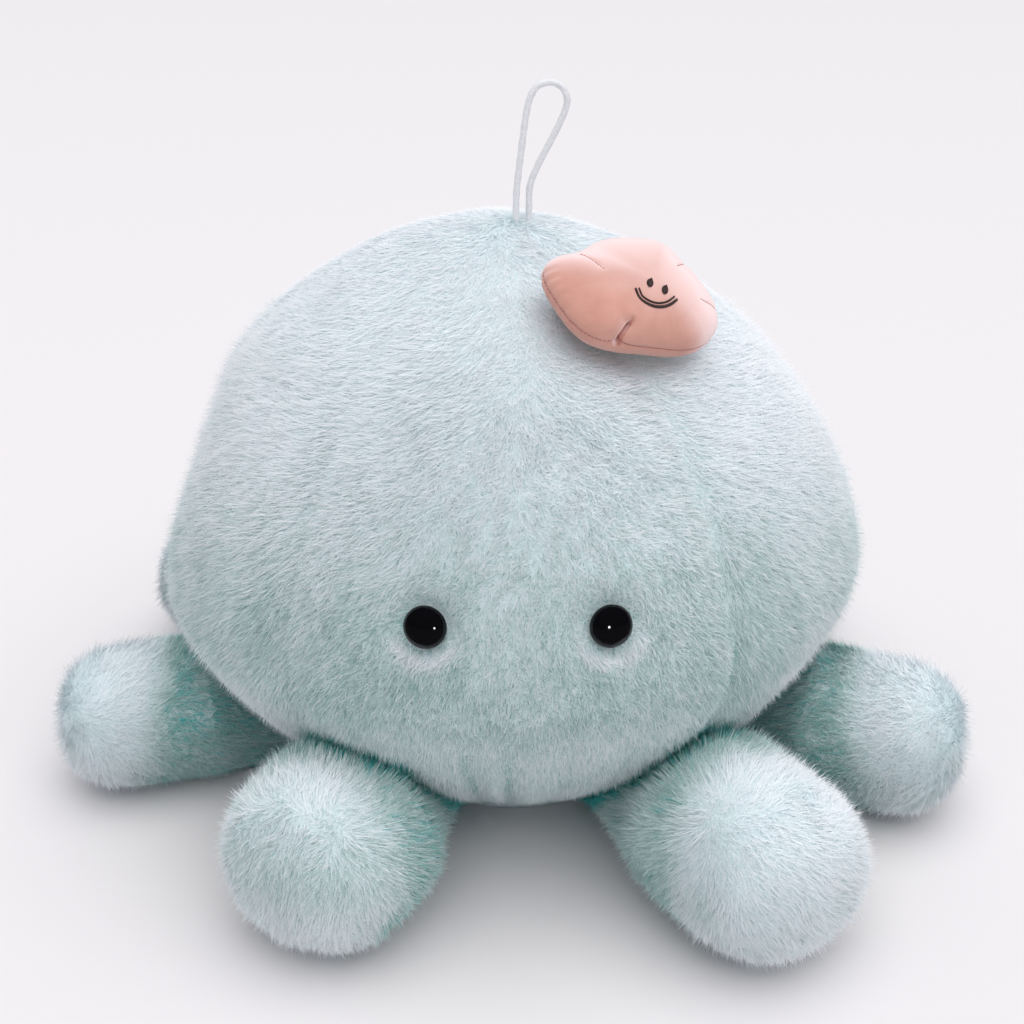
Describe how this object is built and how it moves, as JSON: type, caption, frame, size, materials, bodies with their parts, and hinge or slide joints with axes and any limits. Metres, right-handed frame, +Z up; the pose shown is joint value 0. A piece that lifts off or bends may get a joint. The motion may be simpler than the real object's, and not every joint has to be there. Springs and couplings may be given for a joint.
{
  "type": "plush octopus pillow",
  "caption": "Stuffed octopus pillow with a gored round head, stubby legs, domed safety eyes, a pink stuffed ornament with a stitched smile and a hanging loop.",
  "frame": {"origin": "middle of the footprint on the floor that it rests on", "axes": "+Z up, -Y out of the face, +X to the toy's left-hand side as it looks at the viewer, which is the viewer's right"},
  "size_m": [0.3994, 0.3772, 0.2954],
  "materials": {
    "plush": "short fluffy pile, pale blue with deeper roots",
    "base_plush": "short flattened pile",
    "eye_plastic": "polished black",
    "washer_plastic": "moulded, natural white",
    "velour": "velvety, pale pink",
    "thread": "satin stitch, dark brown",
    "cord": "round woven cord, white"
  },
  "bodies": {
    "root": {"head": "plush", "base_panel": "base_plush", "leg_front_left": "plush", "leg_front_right": "plush", "leg_side_left": "plush", "leg_side_right": "plush", "leg_rear_side_left": "plush", "leg_rear_side_right": "plush", "leg_rear_left": "plush", "leg_rear_right": "plush", "eye_left": "eye_plastic", "eye_right": "eye_plastic", "eye_washer_left": "washer_plastic", "eye_washer_right": "washer_plastic", "ornament_pad": "velour", "smile_stitching": "thread", "stitched_eye_left": "thread", "stitched_eye_right": "thread", "hanging_loop": "cord"}
  },
  "joints": []
}
